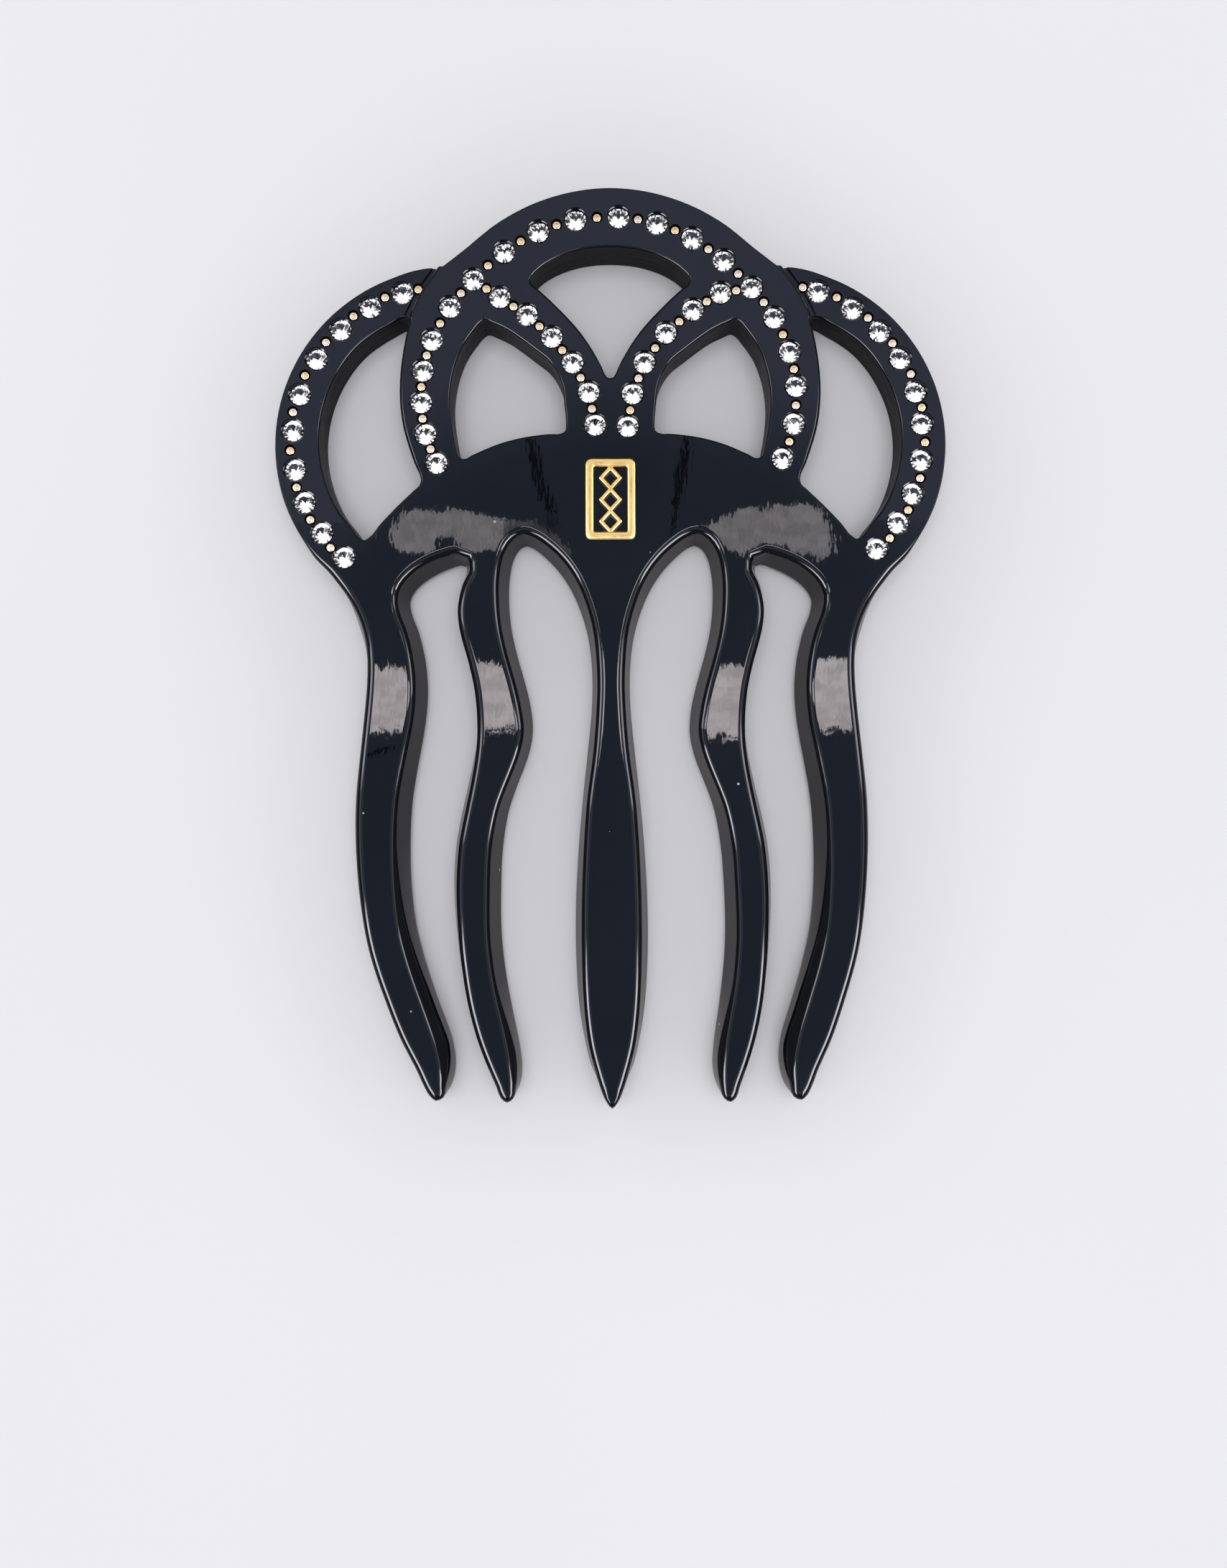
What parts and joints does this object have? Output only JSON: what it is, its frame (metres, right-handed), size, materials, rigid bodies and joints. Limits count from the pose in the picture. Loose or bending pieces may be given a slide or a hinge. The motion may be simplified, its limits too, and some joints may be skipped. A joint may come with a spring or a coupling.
{
  "type": "hair fork",
  "caption": "Curved-tooth hair fork with a pierced crown of interlaced arches, set with cut stones and gold pins.",
  "frame": {"origin": "centre of the bounding box in X and Y, on the flat back at Z = 0, where the fork lies on a surface", "axes": "+X to the right seen from the front, +Y from the tooth tips to the crown, +Z out of the front face"},
  "size_m": [0.0842, 0.1158, 0.0061],
  "materials": {
    "sheet": "polished black acetate",
    "emblem_gold": "polished, gold plated",
    "stone": "cut, foil backed",
    "pin_gold": "polished, gold plated"
  },
  "bodies": {
    "root": {"fork_body": "sheet", "emblem": "emblem_gold", "stones_centre_arch": "stone", "stones_left_arc": "stone", "stones_right_arc": "stone", "stones_left_ring": "stone", "stones_right_ring": "stone", "pins_centre_arch": "pin_gold", "pins_left_arc": "pin_gold", "pins_right_arc": "pin_gold", "pins_left_ring": "pin_gold", "pins_right_ring": "pin_gold"}
  },
  "joints": []
}
